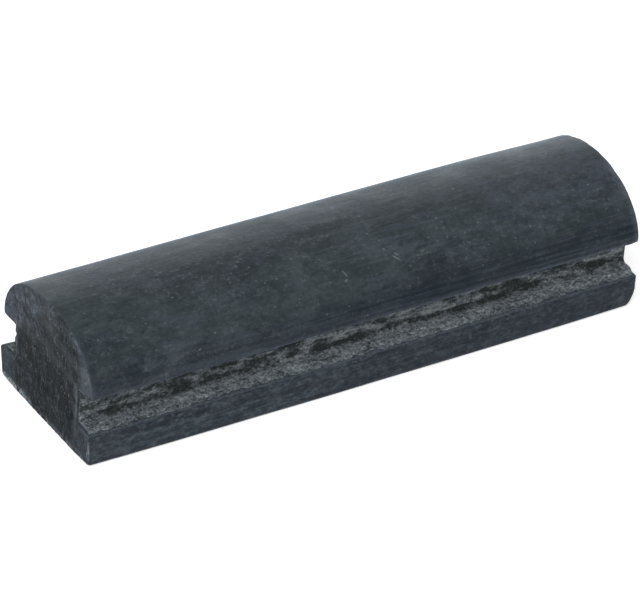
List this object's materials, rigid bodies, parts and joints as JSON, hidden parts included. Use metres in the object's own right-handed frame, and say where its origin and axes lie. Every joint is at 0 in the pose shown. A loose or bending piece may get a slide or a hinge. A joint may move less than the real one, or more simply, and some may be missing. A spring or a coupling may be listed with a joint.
{
  "type": "vibration dampener",
  "caption": "Rubber bar with a flat foot, a domed crown and a lined groove along each flank, pushed between two racket strings to damp their vibration.",
  "frame": {"origin": "middle of the foot's flat underside", "axes": "+X along the bar, +Y across it towards the rear groove, +Z from the foot up to the crown"},
  "size_m": [0.0464, 0.013, 0.0101],
  "materials": {
    "rubber": "satin black rubber with a faint bluish bloom, cut ends matt",
    "lining": "rough grey fibre, worn and pitted"
  },
  "bodies": {
    "root": {"rubber_bar": "rubber", "groove_lining_front": "lining", "groove_lining_rear": "lining"}
  },
  "joints": []
}
